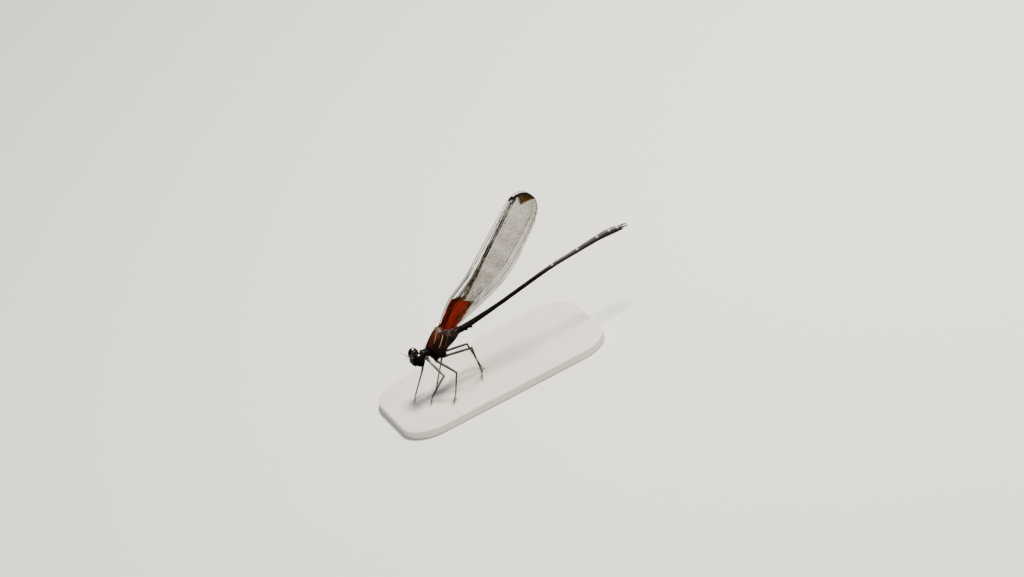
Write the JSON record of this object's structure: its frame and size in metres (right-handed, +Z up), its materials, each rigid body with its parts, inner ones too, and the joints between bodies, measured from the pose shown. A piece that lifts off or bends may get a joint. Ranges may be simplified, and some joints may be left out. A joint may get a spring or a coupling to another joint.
{
  "type": "damselfly model",
  "caption": "Life-size damselfly at rest with closed wings and a long slender abdomen, standing on a thin plain plate.",
  "frame": {"origin": "centre of the underside of the stand plate", "axes": "+X towards the tip of the abdomen, +Y towards the animal's right side, +Z up"},
  "size_m": [0.0554, 0.024, 0.0305],
  "materials": {
    "head": "glossy near-black shell with a grey sheen",
    "eye": "polished black faceted eye",
    "thorax": "red-brown and black shell with pale stripes, satin gloss",
    "abdomen": "glossy black",
    "abdomen_tail": "black with a grey bloom on top",
    "wing": "clear membrane with dark veins, crimson at the base",
    "leg": "glossy near-black",
    "stand": "pale matte paint"
  },
  "bodies": {
    "root": {"stand_base": "stand", "thorax": "thorax", "prothorax": "thorax", "head": "head", "mouthparts": "head", "eye_left": "eye", "eye_right": "eye", "antenna_left": "leg", "antenna_right": "leg", "abdomen_01": "abdomen", "abdomen_02": "abdomen", "abdomen_03": "abdomen", "abdomen_04": "abdomen", "abdomen_05": "abdomen", "abdomen_06": "abdomen_tail", "abdomen_07": "abdomen_tail", "abdomen_08": "abdomen_tail", "abdomen_09": "abdomen_tail", "abdomen_10": "abdomen_tail", "cercus_left": "abdomen_tail", "cercus_right": "abdomen_tail", "wing_fore_left": "wing", "wing_fore_right": "wing", "wing_hind_left": "wing", "wing_hind_right": "wing", "leg_fore_left_thigh": "leg", "leg_fore_left_shin": "leg", "leg_fore_left_foot": "leg", "leg_fore_right_thigh": "leg", "leg_fore_right_shin": "leg", "leg_fore_right_foot": "leg", "leg_mid_left_thigh": "leg", "leg_mid_left_shin": "leg", "leg_mid_left_foot": "leg", "leg_mid_right_thigh": "leg", "leg_mid_right_shin": "leg", "leg_mid_right_foot": "leg", "leg_hind_left_thigh": "leg", "leg_hind_left_shin": "leg", "leg_hind_left_foot": "leg", "leg_hind_right_thigh": "leg", "leg_hind_right_shin": "leg", "leg_hind_right_foot": "leg"}
  },
  "joints": []
}
